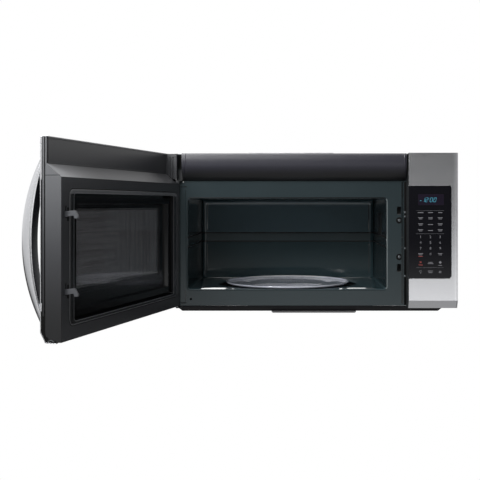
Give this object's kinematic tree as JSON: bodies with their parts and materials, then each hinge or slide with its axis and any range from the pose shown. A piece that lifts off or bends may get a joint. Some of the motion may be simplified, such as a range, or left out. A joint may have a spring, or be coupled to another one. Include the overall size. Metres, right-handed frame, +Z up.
{
  "type": "over the range microwave",
  "caption": "Wall-hung microwave oven and fan hood with a side-hung door and bowed handle, a turntable, a touch control panel and grease filters underneath.",
  "frame": {"origin": "on the wall face of the back plate, on the cabinet's centreline, level with the base pan's underside", "axes": "+X to the right as seen from the front, +Y out of the back towards the wall, +Z up"},
  "size_m": [0.9892, 0.9927, 0.45],
  "materials": {
    "stainless": "fine horizontal brushing",
    "black_glass": "gloss black, flush",
    "clear_glass": "pressed clear glass",
    "window_film": "clear film",
    "display": "smoked lens",
    "enamel": "gloss dark grey-green enamel",
    "deflector": "gloss black",
    "black_paint": "satin black",
    "black_plastic": "satin black",
    "door_plastic": "satin dark grey",
    "zinc_steel": "galvanised sheet",
    "bright_steel": "plated",
    "aluminium": "natural",
    "motor_steel": "grey",
    "white_plastic": "natural nylon",
    "mica": "mica sheet",
    "lens": "moulded",
    "board": "printed circuit board",
    "charcoal": "charcoal pad"
  },
  "bodies": {
    "cabinet": {"outer_wrap": "black_paint", "cord_bushing": "lens", "back_plate": "zinc_steel", "base_pan": "black_paint", "lamp_cover": "lens", "cooktop_lamps": "board", "cavity_liner": "enamel", "waveguide_cover": "mica", "waveguide": "aluminium", "magnetron": "aluminium", "oven_lamp": "zinc_steel", "turntable_motor": "motor_steel", "front_plate": "enamel", "latch_screws": "bright_steel", "air_deflector": "deflector", "top_grille": "black_plastic", "charcoal_filter": "charcoal", "hinge_brackets": "zinc_steel", "hinge_pins": "bright_steel", "control_fascia": "stainless", "control_glass": "black_glass", "display_window": "display", "control_housing": "black_plastic", "keypad_membrane": "board", "control_board": "board", "latch_board": "black_plastic", "door_switches": "white_plastic", "component_deck": "zinc_steel", "hv_transformer": "zinc_steel", "hv_capacitor": "aluminium", "noise_filter_board": "board", "fan_bracket": "zinc_steel", "fan_motor": "motor_steel", "blower_scrolls": "black_plastic", "blower_motor": "motor_steel", "exhaust_adapter": "zinc_steel"},
    "door": {"door_skin": "stainless", "door_glass": "black_glass", "door_frame": "door_plastic", "hinge_bushes": "white_plastic", "choke_cover": "black_plastic", "choke_panel": "black_paint", "perforated_screen": "black_paint", "inner_window": "window_film", "key_spring": "bright_steel", "handle": "stainless"},
    "latch_key": {"door_key": "door_plastic"},
    "coupler": {"coupler": "white_plastic"},
    "tray": {"glass_tray": "clear_glass"},
    "roller_ring": {"roller_ring": "white_plastic"},
    "roller_1": {"roller_1": "white_plastic"},
    "roller_2": {"roller_2": "white_plastic"},
    "roller_3": {"roller_3": "white_plastic"},
    "filter_left": {"grease_filter_frame_left": "aluminium", "grease_filter_mesh_left": "aluminium"},
    "filter_right": {"grease_filter_frame_right": "aluminium", "grease_filter_mesh_right": "aluminium"},
    "damper": {"damper_flap": "aluminium"},
    "blower_rotor": {"blower_rotor": "white_plastic"},
    "fan": {"fan_blade": "white_plastic"}
  },
  "joints": [
    {"name": "door_hinge", "type": "hinge", "parent": "cabinet", "child": "door", "pos_m": [-0.37227, -0.392, 0.2], "axis": [0, 0, 1], "range_deg": [0, 104.23]},
    {"name": "key_slide", "type": "slide", "parent": "door", "child": "latch_key", "axis": [0, 0, 1], "range_m": [0, 0.005], "stiffness_N_per_m": 300, "springref_m": -0.01, "deforming": ["key_spring"]},
    {"name": "turntable_spin", "type": "hinge", "parent": "cabinet", "child": "coupler", "pos_m": [-0.0748, -0.195, 0.045], "axis": [0, 0, 1], "continuous": true},
    {"name": "tray_lift", "type": "slide", "parent": "coupler", "child": "tray", "axis": [0, 0, 1], "range_m": [0, 0.025]},
    {"name": "ring_spin", "type": "hinge", "parent": "cabinet", "child": "roller_ring", "pos_m": [-0.0748, -0.195, 0.0507], "axis": [0, 0, 1], "continuous": true},
    {"name": "roller_1_spin", "type": "hinge", "parent": "roller_ring", "child": "roller_1", "pos_m": [0.0412, -0.195, 0.0507], "axis": [1, 0, 0], "continuous": true},
    {"name": "roller_2_spin", "type": "hinge", "parent": "roller_ring", "child": "roller_2", "pos_m": [-0.1328, -0.09454, 0.0507], "axis": [-0.5, 0.866, 0], "continuous": true},
    {"name": "roller_3_spin", "type": "hinge", "parent": "roller_ring", "child": "roller_3", "pos_m": [-0.1328, -0.29546, 0.0507], "axis": [-0.5, -0.866, 0], "continuous": true},
    {"name": "blower_spin", "type": "hinge", "parent": "cabinet", "child": "blower_rotor", "pos_m": [-0.065, -0.11, 0.3605], "axis": [1, 0, 0], "continuous": true},
    {"name": "fan_spin", "type": "hinge", "parent": "cabinet", "child": "fan", "pos_m": [0.28575, -0.06, 0.214], "axis": [0, 1, 0], "continuous": true},
    {"name": "filter_left_drop", "type": "slide", "parent": "cabinet", "child": "filter_left", "axis": [0, 0, -1], "range_m": [0, 0.03]},
    {"name": "filter_right_drop", "type": "slide", "parent": "cabinet", "child": "filter_right", "axis": [0, 0, -1], "range_m": [0, 0.03]},
    {"name": "damper_swing", "type": "hinge", "parent": "cabinet", "child": "damper", "pos_m": [-0.065, -0.07875, 0.433], "axis": [-1, 0, 0], "range_deg": [0, 80]}
  ],
  "couplings": [
    {"joint": "ring_spin", "follows": "turntable_spin", "ratio": 0.5},
    {"joint": "roller_1_spin", "follows": "turntable_spin", "ratio": -9.6667},
    {"joint": "roller_2_spin", "follows": "turntable_spin", "ratio": -9.6667},
    {"joint": "roller_3_spin", "follows": "turntable_spin", "ratio": -9.6667}
  ]
}
